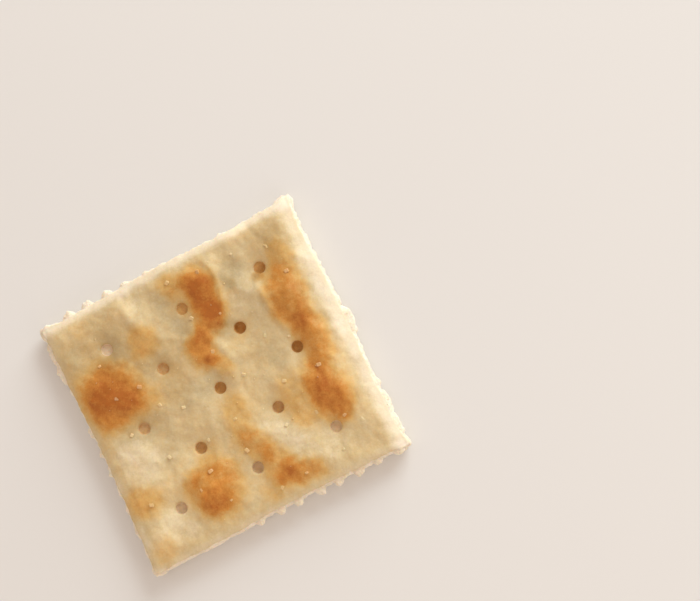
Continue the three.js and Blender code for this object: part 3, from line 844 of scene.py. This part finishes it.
def under_skin(crust):
    """The lower crust, open at the pinpricks."""
    x, y, middles = grid_places(FOOT_RINGS)
    x, y = wear_rim(x, y, seed=63)
    z = underside_crust(x, y)
    touch = 1 - smooth(*BELT_TOUCH_HEIGHTS, z)
    brown = BELT_TOAST + BELT_TOUCH_TOAST * touch + uneven(x, y, BELT_MOTTLE, seed=43)
    stray = uneven(x, y, BELT_STRAY, seed=45)
    inside_x = smooth(*BELT_DEPTHS, HALF_X - np.abs(x) + stray)
    inside_y = smooth(*BELT_DEPTHS, HALF_Y - np.abs(y) + stray)
    brown = np.clip(brown * inside_x * inside_y, 0, 1)
    xyz = np.stack([x, y, z], axis=-1)
    ids = crust.add_points(xyz, brown.ravel()).reshape(x.shape)
    crust.add_quads(grid_quads(ids, middles, False), UNDERSIDE)
    return ids, middles


def torn_edge(crust, top_ids, under_ids):
    """The side: rows of points from the upper rim down to the lower one."""
    places, outward, run = border()
    points = np.concatenate(crust.points)
    upper = points[rim(top_ids)]
    lower = points[rim(under_ids)]
    above = rim(top_ids)
    for step in range(1, EDGE_LEVELS):
        level = step / EDGE_LEVELS
        row = upper * (1 - level) + lower * level
        out = torn_out(places, run, level, row[:, 2])
        row[:, :2] += out[:, None] * outward
        streaks = uneven(run, row[:, 2] * EDGE_STREAK, EDGE_STREAKS, seed=55)
        tanned = EDGE_TOAST + EDGE_RIM_TOAST * (2 * level - 1) ** 4 + streaks
        ids = crust.add_points(row, np.clip(tanned, 0, 1))
        crust.bridge(above, ids, EDGE)
        above = ids
    crust.bridge(above, rim(under_ids), EDGE)


def slump_share(x, y, centre, side):
    """How far crumb that slumped into a docker hole from one side covers each point."""
    angle = math.radians(side)
    lean = (x - centre[0]) * math.cos(angle) + (y - centre[1]) * math.sin(angle)
    return smooth(*SLUMP_ACROSS, lean / HOLE_RADIUS)


def pit(crust, lip, centre, radius, end_height, toast, downward, slump=None):
    """The inside of a hole from its lip to a rounded end, going down from above or up from below."""
    top = np.concatenate(crust.points)[lip]
    angle = np.arctan2(top[:, 1] - centre[1], top[:, 0] - centre[0])
    above = lip
    for level, share in PIT_PROFILE:
        wall_x = PIT_WALL_ROUND * np.cos(angle) + centre[0]
        wall_y = PIT_WALL_ROUND * np.sin(angle) + PIT_WALL_DOWN * level
        fade = min(1, PIT_WALL_FADE * (1 - level))
        out = radius * share * (1 + fade * uneven(wall_x, wall_y, PIT_WALL, seed=71))
        x = centre[0] + out * np.cos(angle)
        y = centre[1] + out * np.sin(angle)
        end = end_height + uneven(x, y, PIT_END, seed=72)
        shade = toast
        if slump:
            side, heap, paler = slump
            cover = slump_share(x, y, centre, side)
            end = end + heap * cover
            shade = toast - paler * cover
        z = top[:, 2] * (1 - level) + end * level
        ids = crust.add_points(np.stack([x, y, z], axis=1), shade)
        if downward:
            crust.bridge(ids, above, WELL)
        else:
            crust.bridge(above, ids, WELL)
        above = ids
    half = len(above) // 2
    for step in range(half - 1):
        strip = [above[step], above[step + 1], above[-step - 2], above[-step - 1]]
        crust.add_quads([strip if downward else strip[::-1]], WELL)


def cracker_crust():
    """The whole skin: top, underside, torn edge and the insides of the holes."""
    crust = Crust()
    top_ids, top_middles = top_skin(crust)
    under_ids, under_middles = under_skin(crust)
    torn_edge(crust, top_ids, under_ids)
    for hole, centre in enumerate(HOLE_CENTRES):
        column, row, _, floor, brown = DOCKER_HOLES[hole]
        slump = SLUMPED.get((column, row))
        lip = ring_points(top_ids, top_middles[hole])
        # The hole's brown is partly painted shade, and painted light in the pale first hole.
        pit(crust, lip, centre, HOLE_RADIUS, floor, brown, downward=True, slump=slump)
        foot = ring_points(under_ids, under_middles[hole])
        pit(crust, foot, centre, PINPRICK_RADIUS, PINPRICK_TOP, PINPRICK_TOAST, downward=False)
    return crust


def mesh_object(name, points, faces, materials, finish=None):
    """A smooth mesh object in metres from points in millimetres."""
    mesh = bpy.data.meshes.new(name)
    mesh.from_pydata((np.asarray(points) * MM).tolist(), [], np.asarray(faces).tolist())
    for material in materials:
        mesh.materials.append(material)
    if finish is not None:
        mesh.polygons.foreach_set("material_index", np.asarray(finish, np.int32))
    mesh.polygons.foreach_set("use_smooth", np.ones(len(mesh.polygons), bool))
    mesh.update()
    piece = bpy.data.objects.new(name, mesh)
    bpy.context.scene.collection.objects.link(piece)
    return piece


def add_measure(piece, title, values):
    """Gives each point a measure, such as how toasted it is, for the finishes to read."""
    attribute = piece.data.attributes.new(title, "FLOAT", "POINT")
    attribute.data.foreach_set("value", values.astype(np.float32))


def crust_object(crust, materials):
    """The gathered skin as one object, without the points that no face uses."""
    points = np.concatenate(crust.points)
    faces = np.concatenate(crust.faces)
    used = np.unique(faces)
    new_id = np.full(len(points), -1)
    new_id[used] = np.arange(len(used))
    finish = np.concatenate(crust.finish)
    points = points[used]
    piece = mesh_object("cracker_crust", points, new_id[faces], materials, finish)
    add_measure(piece, "toast", np.concatenate(crust.toast)[used])
    # The flour measure is painted light and shade, read into the crust's colour.
    add_measure(piece, "flour", painted_light_and_shade(points[:, 0], points[:, 1]))
    return piece


def crystal():
    """One salt crystal: a cube of side 1 with well worn edges, as points and triangles."""
    form = bmesh.new()
    bmesh.ops.create_cube(form, size=1.0)
    bmesh.ops.bevel(form, geom=form.edges[:], offset=SALT_BEVEL, segments=1, affect="EDGES")
    bmesh.ops.triangulate(form, faces=form.faces[:])
    form.verts.index_update()
    points = np.array([vert.co for vert in form.verts])
    faces = np.array(sorted([vert.index for vert in face.verts] for face in form.faces))
    form.free()
    return points, faces


def turn_matrix(about_x, about_y, about_z):
    """The turns of a grain, first about X, then Y, then Z."""
    turned = Matrix.Rotation(about_z, 3, "Z") @ Matrix.Rotation(about_y, 3, "Y")
    return np.array(turned @ Matrix.Rotation(about_x, 3, "X"))


def coarse_grains():
    """The places, sizes and turns of the coarse salt, the same as in the solid."""
    middle = (SALT_CELLS - 1) / 2
    for cell in range(SALT_CELLS * SALT_CELLS):
        column = cell % SALT_CELLS
        row = cell // SALT_CELLS
        x = (column - middle + SALT_SCATTER * (draw(cell, 3) - 0.5)) * SALT_CELL
        y = (row - middle + SALT_SCATTER * (draw(cell, 4) - 0.5)) * SALT_CELL
        if hole_distance(np.array(x), np.array(y)) <= SALT_HOLE_GAP or edge_drop(x, y) > 0:
            continue
        size = SALT_SIZE * (SALT_SMALLEST + SALT_SPREAD * draw(cell, 5))
        tilt_x = SALT_TILT * (draw(cell, 6) - 0.5)
        tilt_y = SALT_TILT * (draw(cell, 7) - 0.5)
        turn = turn_matrix(tilt_x, tilt_y, math.pi * draw(cell, 8))
        crust = float(top_height(np.array([x]), np.array([y]))[0])
        z = crust + size * SALT_SHAPE[2] / 2 - SALT_SUNK
        yield np.array([x, y, z]), size, turn


def fine_grains():
    """Smaller grains between the coarse ones."""
    for n in range(FINE_SALT):
        x = (draw(n, 81) - 0.5) * (LENGTH - 2 * FINE_SALT_MARGIN_X)
        y = (draw(n, 82) - 0.5) * (WIDTH - 2 * FINE_SALT_MARGIN_Y)
        if hole_distance(np.array(x), np.array(y)) < HOLE_RADIUS + FINE_SALT_HOLE_GAP:
            continue
        size = FINE_SALT_SMALLEST + FINE_SALT_SPREAD * draw(n, 83) ** 2
        spot_x = np.array([x])
        spot_y = np.array([y])
        crust = float(crust_height(spot_x, spot_y, toasting(spot_x, spot_y))[0])
        turns = [FINE_SALT_TURN * draw(n, channel) for channel in (84, 85, 86)]
        yield np.array([x, y, crust + FINE_SALT_STANDS * size]), size, turn_matrix(*turns)


def salt_object(material):
    """All the grains as one object, each worn in its own way and stained by the crust below it."""
    form, form_faces = crystal()
    points = []
    faces = []
    stain = []
    for n, (place, size, turn) in enumerate([*coarse_grains(), *fine_grains()]):
        drawn = draw(np.arange(form.size) + SALT_DRAWS * n, 9).reshape(form.shape)
        shape = form * (1 + SALT_WORN * (drawn - 0.5)) * np.array(SALT_SHAPE) * size
        points.append(shape @ turn.T + place)
        faces.append(form_faces + n * len(form))
        stain.append(np.repeat(toasting(place[:1], place[1:2]), len(form)))
    piece = mesh_object("salt_grains", np.concatenate(points), np.concatenate(faces), [material])
    piece.data.polygons.foreach_set("use_smooth", np.zeros(len(piece.data.polygons), bool))
    add_measure(piece, "toast", np.concatenate(stain))
    return piece


# ---- finishes -------------------------------------------------------------------------------


def new_group(name, inputs, outputs):
    """An empty node group with these sockets, what it is given and what it makes."""
    group = bpy.data.node_groups.new(name, "ShaderNodeTree")
    kinds = {"float": "NodeSocketFloat", "color": "NodeSocketColor", "vector": "NodeSocketVector"}
    for title, kind, value in inputs:
        socket = group.interface.new_socket(title, in_out="INPUT", socket_type=kinds[kind])
        if value is not None:
            socket.default_value = value
    for title, kind in outputs:
        group.interface.new_socket(title, in_out="OUTPUT", socket_type=kinds[kind])
    given = group.nodes.new("NodeGroupInput").outputs
    made = group.nodes.new("NodeGroupOutput").inputs
    return group, given, made


class Wiring:
    """Short ways to add and join nodes in one tree."""

    def __init__(self, tree):
        self.tree = tree

    def join(self, source, target):
        self.tree.links.new(source, target)

    def fill(self, socket, value):
        """Gives a socket a value or another node's output. None leaves it as it is."""
        if isinstance(value, bpy.types.NodeSocket):
            self.join(value, socket)
        elif value is not None:
            socket.default_value = value

    def add(self, kind, values):
        """A new node of this kind, with what its named sockets get."""
        node = self.tree.nodes.new("ShaderNode" + kind)
        for title, value in values.items():
            self.fill(node.inputs[title], value)
        return node

    def math(self, operation, first, second, clamp=False):
        node = self.tree.nodes.new("ShaderNodeMath")
        node.operation = operation
        node.use_clamp = clamp
        self.fill(node.inputs[0], first)
        self.fill(node.inputs[1], second)
        return node.outputs[0]

    def plus(self, first, second, clamp=False):
        return self.math("ADD", first, second, clamp)

    def minus(self, first, second):
        return self.math("SUBTRACT", first, second)

    def times(self, first, second, clamp=False):
        return self.math("MULTIPLY", first, second, clamp)

    def mix(self, share, first, second):
        node = self.tree.nodes.new("ShaderNodeMix")
        node.data_type = "RGBA"
        self.fill(node.inputs["Factor"], share)
        colours = [socket for socket in node.inputs if socket.type == "RGBA"]
        self.fill(colours[0], first)
        self.fill(colours[1], second)
        return next(socket for socket in node.outputs if socket.type == "RGBA")

    def step(self, value, low, high, bottom, top):
        """A smooth step from bottom, where the value is low, to top, where it is high."""
        ends = {"From Min": low, "From Max": high, "To Min": bottom, "To Max": top}
        node = self.add("MapRange", {"Value": value, **ends})
        node.interpolation_type = "SMOOTHSTEP"
        return node.outputs["Result"]

    def noise(self, place, scale, detail=2.0, roughness=0.5):
        fineness = {"Scale": scale, "Detail": detail, "Roughness": roughness}
        return self.add("TexNoise", {"Vector": place, **fineness}).outputs["Fac"]

    def cells(self, place, scale):
        return self.add("TexVoronoi", {"Vector": place, "Scale": scale}).outputs["Distance"]

    def attribute(self, name):
        node = self.tree.nodes.new("ShaderNodeAttribute")
        node.attribute_name = name
        return node.outputs["Fac"]

    def place_mm(self):
        """The point on the object, in millimetres."""
        coordinates = self.tree.nodes.new("ShaderNodeTexCoord")
        scale = self.tree.nodes.new("ShaderNodeVectorMath")
        scale.operation = "SCALE"
        self.join(coordinates.outputs["Object"], scale.inputs[0])
        scale.inputs["Scale"].default_value = 1 / MM
        return scale.outputs[0]

    def group(self, group, **values):
        """Places a group in the tree with these values, and returns what it puts out."""
        node = self.tree.nodes.new("ShaderNodeGroup")
        node.node_tree = group
        for title, value in values.items():
            self.fill(node.inputs[title], value)
        return node.outputs


def toasting_group():
    """Turns how toasted a spot is into its colour, with more mottling the browner it is."""
    stages = ("Raw", "Pale", "Golden", "Brown", "Scorched")
    group, given, made = new_group(
        "toasting",
        [("Place", "vector", None), ("Toast", "float", 0.0), ("Mottle", "float", 0.15)]
        + [(stage, "color", (0.6, 0.4, 0.2, 1)) for stage in stages],
        [("Color", "color"), ("Toast", "float")],
    )
    wire = Wiring(group)
    place = given["Place"]
    wide = wire.minus(wire.noise(place, scale=0.9, detail=4.0, roughness=0.6), 0.5)
    fine = wire.minus(wire.noise(place, scale=3.4, detail=3.0, roughness=0.65), 0.5)
    both = wire.plus(wide, wire.times(fine, 0.7))
    shift = wire.times(both, given["Mottle"])
    room = wire.times(shift, wire.plus(given["Toast"], 0.2))
    toast = wire.plus(given["Toast"], wire.times(room, 2.0), clamp=True)
    colour = given[stages[0]]
    spans = len(stages) - 1
    for number, stage in enumerate(stages[1:]):
        past = wire.minus(toast, number / spans)
        share = wire.times(past, spans, clamp=True)
        colour = wire.mix(share, colour, given[stage])
    wire.join(colour, made["Color"])
    wire.join(toast, made["Toast"])
    return group


def grain_group():
    """The fine grain of baked flour: a height for bump, and a tone to lighten or darken with."""
    group, given, made = new_group(
        "floury grain",
        [("Place", "vector", None), ("Size", "float", 0.4), ("Pits", "float", 0.5)],
        [("Height", "float"), ("Tone", "float")],
    )
    wire = Wiring(group)
    place = given["Place"]
    scale = wire.math("DIVIDE", 1.0, given["Size"])
    crumbs = wire.noise(place, scale, detail=4.0, roughness=0.6)
    soft = wire.noise(place, wire.times(scale, 0.3))
    bubbles = wire.cells(place, wire.times(scale, 0.55))
    inside = wire.step(bubbles, low=0.0, high=0.32, bottom=1.0, top=0.0)
    pits = wire.times(inside, given["Pits"])
    height = wire.minus(wire.plus(crumbs, wire.times(soft, 0.6)), pits)
    tone = wire.plus(wire.times(crumbs, 0.6), wire.times(soft, 0.4))
    wire.join(height, made["Height"])
    wire.join(tone, made["Tone"])
    return group


def dusting_group():
    """Lightens a colour where the grain leaves flour and darkens it in the pits, and adds the
    painted light and shade that come in as Flour.
    """
    group, given, made = new_group(
        "flour dusting",
        [
            ("Color", "color", (0.8, 0.8, 0.8, 1)),
            ("Tone", "float", 0.5),
            ("Contrast", "float", 0.3),
            ("Flour", "float", 0.0),
        ],
        [("Color", "color")],
    )
    wire = Wiring(group)
    shift = wire.minus(given["Tone"], 0.5)
    shift = wire.times(shift, given["Contrast"])
    value = wire.plus(1.0, wire.times(shift, 2.0))
    # Flour brings painted light and shade.
    value = wire.plus(given["Flour"], value)
    tint = group.nodes.new("ShaderNodeHueSaturation")
    wire.join(given["Color"], tint.inputs["Color"])
    wire.join(value, tint.inputs["Value"])
    wire.join(tint.outputs["Color"], made["Color"])
    return group


TOASTING = toasting_group()
GRAIN = grain_group()
DUSTING = dusting_group()

RAW = (0.89, 0.80, 0.64, 1)
PALE = (0.675, 0.54, 0.31, 1)
GOLDEN = (0.655, 0.415, 0.146, 1)
BROWN = (0.582, 0.252, 0.044, 1)
SCORCHED = (0.43, 0.13, 0.014, 1)
STAGES = {"Raw": RAW, "Pale": PALE, "Golden": GOLDEN, "Brown": BROWN, "Scorched": SCORCHED}
TORN_STAGES = {**STAGES, "Raw": (0.89, 0.80, 0.66, 1), "Pale": (0.78, 0.64, 0.44, 1)}
# The docker holes' crumb, darker than the crust's: partly its own colour, partly painted shade.
WELL_STAGES = {
    **STAGES,
    "Raw": (0.84, 0.70, 0.54, 1),
    "Pale": (0.67, 0.495, 0.30, 1),
    "Golden": (0.61, 0.355, 0.125, 1),
    "Brown": (0.48, 0.20, 0.03, 1),
}
BUTTERY_SALT = (0.88, 0.73, 0.46, 1)
CRUMB_GLOW = (1.0, 0.55, 0.25)
FLOOR_TONES = ((0.79, 0.79, 0.79, 1), (0.81, 0.81, 0.81, 1))


class Finish:
    """A new material, and the steps that the finishes share."""

    def __init__(self, name):
        self.material = bpy.data.materials.new(name)
        self.material.use_nodes = True
        self.wire = Wiring(self.material.node_tree)
        self.inputs = self.material.node_tree.nodes["Principled BSDF"].inputs
        self.place = self.wire.place_mm()

    def set(self, title, value):
        self.wire.fill(self.inputs[title], value)

    def bake(self, stages, mottle, size, pits, depth, strength):
        """Toasts the finish and gives it its grain, with a bump of this depth and strength."""
        wire = self.wire
        grain = wire.group(GRAIN, Place=self.place, Size=size, Pits=pits)
        height = grain["Height"]
        bump = wire.add("Bump", {"Height": height, "Distance": depth * MM, "Strength": strength})
        self.set("Normal", bump.outputs["Normal"])
        toast = wire.attribute("toast")
        toasted = wire.group(TOASTING, Place=self.place, Toast=toast, Mottle=mottle, **stages)
        return toasted, grain["Tone"]

    def dust(self, colour, tone, contrast, flour=None):
        """Dusts a colour with the grain's flour, adds the painted light and shade given as flour, and
        lays it on.
        """
        values = {"Color": colour, "Tone": tone, "Contrast": contrast, "Flour": flour}
        self.set("Base Color", self.wire.group(DUSTING, **values)["Color"])

    def glow_through(self, weight, depth):
        """A little light passes through thin crumb."""
        self.set("Subsurface Weight", weight)
        self.set("Subsurface Radius", CRUMB_GLOW)
        self.set("Subsurface Scale", depth * MM)


def crust_finish():
    finish = Finish("baked_crust")
    toasted, tone = finish.bake(STAGES, mottle=0.2, size=0.42, pits=0.35, depth=0.09, strength=0.5)
    # The flour attribute paints light and shade into the crust's colour.
    finish.dust(toasted["Color"], tone, contrast=0.17, flour=finish.wire.attribute("flour"))
    roughness = finish.wire.step(toasted["Toast"], low=0.1, high=0.8, bottom=0.72, top=0.5)
    finish.set("Roughness", roughness)
    finish.set("Specular IOR Level", 0.35)
    finish.glow_through(weight=0.2, depth=1.6)
    return finish.material


def well_finish():
    finish = Finish("docker_hole_crumb")
    toasted, tone = finish.bake(WELL_STAGES, mottle=0.2, size=0.5, pits=0.6, depth=0.12, strength=0.6)
    finish.dust(toasted["Color"], tone, contrast=0.3)
    finish.set("Roughness", 0.9)
    finish.glow_through(weight=0.35, depth=1.2)
    return finish.material


def edge_finish():
    finish = Finish("torn_crumb")
    toasted, tone = finish.bake(TORN_STAGES, mottle=0.25, size=0.5, pits=0.9, depth=0.16, strength=0.8)
    finish.dust(toasted["Color"], tone, contrast=0.4)
    finish.set("Roughness", 0.9)
    finish.glow_through(weight=0.2, depth=1.5)
    return finish.material


def underside_finish():
    finish = Finish("belt_side_crust")
    toasted, tone = finish.bake(STAGES, mottle=0.4, size=0.6, pits=0.7, depth=0.12, strength=0.8)
    finish.dust(toasted["Color"], tone, contrast=0.3)
    finish.set("Roughness", 0.8)
    finish.glow_through(weight=0.12, depth=1.2)
    return finish.material


def salt_finish():
    finish = Finish("salt")
    toasted, tone = finish.bake(STAGES, mottle=0.1, size=0.25, pits=0.2, depth=0.03, strength=0.4)
    stained = finish.wire.mix(0.68, BUTTERY_SALT, toasted["Color"])
    finish.dust(stained, tone, contrast=0.2)
    roughness = finish.wire.step(tone, low=0.3, high=0.7, bottom=0.4, top=0.6)
    finish.set("Roughness", roughness)
    finish.set("Specular IOR Level", 0.3)
    finish.glow_through(weight=0.25, depth=0.5)
    return finish.material


def floor_finish():
    finish = Finish("studio_floor")
    tone = finish.wire.noise(finish.place, scale=0.01, detail=1.0)
    finish.set("Base Color", finish.wire.mix(tone, *FLOOR_TONES))
    finish.set("Roughness", 0.85)
    return finish.material


# ---- studio ---------------------------------------------------------------------------------

VIEW_AZIMUTH = math.radians(-46)
VIEW_ELEVATION = math.radians(78)
VIEW_ROLL = math.radians(288.4)
VIEW_DISTANCE = 0.45
VIEW_TARGET = Vector((0.02706, 0.00311, 0.0))
VIEW_LENS = 129.97
VIEW_FILM = 36.0
VIEW_NEAREST = 0.01
FLOOR_HALF = 2.0
FLOOR_TOP = -0.02  # millimetres, so that the underside and the floor share no plane
SKY_TINT = (1.0, 0.84, 0.72, 1)
SKY_STRENGTH = 0.655

# The soft boxes: azimuth and elevation in degrees, then distance, size, power and tint.
LIGHTS = {
    "key_light": (37, 20, 0.9, 0.6, 7.65, (0.94, 1.0, 1.0)),
    "bounce_card": (-68, 22, 0.34, 0.3, 0.16, (1.0, 0.93, 0.86)),
    "fill_card": (-135, 32, 0.5, 0.5, 0.24, (1.0, 0.85, 0.74)),
}


def studio_floor():
    corners = [(-1, -1), (1, -1), (1, 1), (-1, 1)]
    points = [(x * FLOOR_HALF / MM, y * FLOOR_HALF / MM, FLOOR_TOP) for x, y in corners]
    floor = mesh_object("studio_floor", points, [(0, 1, 2, 3)], [floor_finish()])


def away_at(azimuth, elevation):
    """The direction from the cracker at these angles, the azimuth counted from +X."""
    level = math.cos(elevation)
    return Vector((math.cos(azimuth) * level, math.sin(azimuth) * level, math.sin(elevation)))


def soft_light(name, azimuth, elevation, distance, size, power, tint):
    """A square soft box that faces the cracker."""
    lamp = bpy.data.lights.new(name, "AREA")
    lamp.shape = "SQUARE"
    lamp.size = size
    lamp.energy = power
    lamp.color = tint
    light = bpy.data.objects.new(name, lamp)
    bpy.context.scene.collection.objects.link(light)
    away = away_at(math.radians(azimuth), math.radians(elevation))
    light.location = away * distance
    light.rotation_euler = away.to_track_quat("Z", "Y").to_euler()


def studio_lights():
    for name, settings in LIGHTS.items():
        soft_light(name, *settings)
    world = bpy.data.worlds.new("studio")
    world.use_nodes = True
    sky = world.node_tree.nodes["Background"]
    sky.inputs["Color"].default_value = SKY_TINT
    sky.inputs["Strength"].default_value = SKY_STRENGTH
    bpy.context.scene.world = world
    bpy.context.scene.view_settings.view_transform = "Standard"


def photo_camera():
    """The camera that was fitted to the holes and corners in the photo."""
    away = away_at(VIEW_AZIMUTH, VIEW_ELEVATION)
    forward = -away
    right = forward.cross(Vector((0, 0, 1))).normalized()
    up = right.cross(forward)
    turned_right = right * math.cos(VIEW_ROLL) + up * math.sin(VIEW_ROLL)
    turned_up = up * math.cos(VIEW_ROLL) - right * math.sin(VIEW_ROLL)
    lens = bpy.data.cameras.new("photo_camera")
    lens.lens = VIEW_LENS
    lens.sensor_width = VIEW_FILM
    lens.clip_start = VIEW_NEAREST
    camera = bpy.data.objects.new("photo_camera", lens)
    bpy.context.scene.collection.objects.link(camera)
    facing = Matrix((turned_right, turned_up, away)).transposed().to_4x4()
    camera.matrix_world = Matrix.Translation(VIEW_TARGET + away * VIEW_DISTANCE) @ facing
    bpy.context.scene.camera = camera


photo_camera()
studio_floor()
studio_lights()

finishes = [crust_finish(), edge_finish(), underside_finish(), well_finish()]
crust_piece = crust_object(cracker_crust(), finishes)
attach(crust_piece, "root")
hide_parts("cracker")

salt_piece = salt_object(salt_finish())
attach(salt_piece, "root")
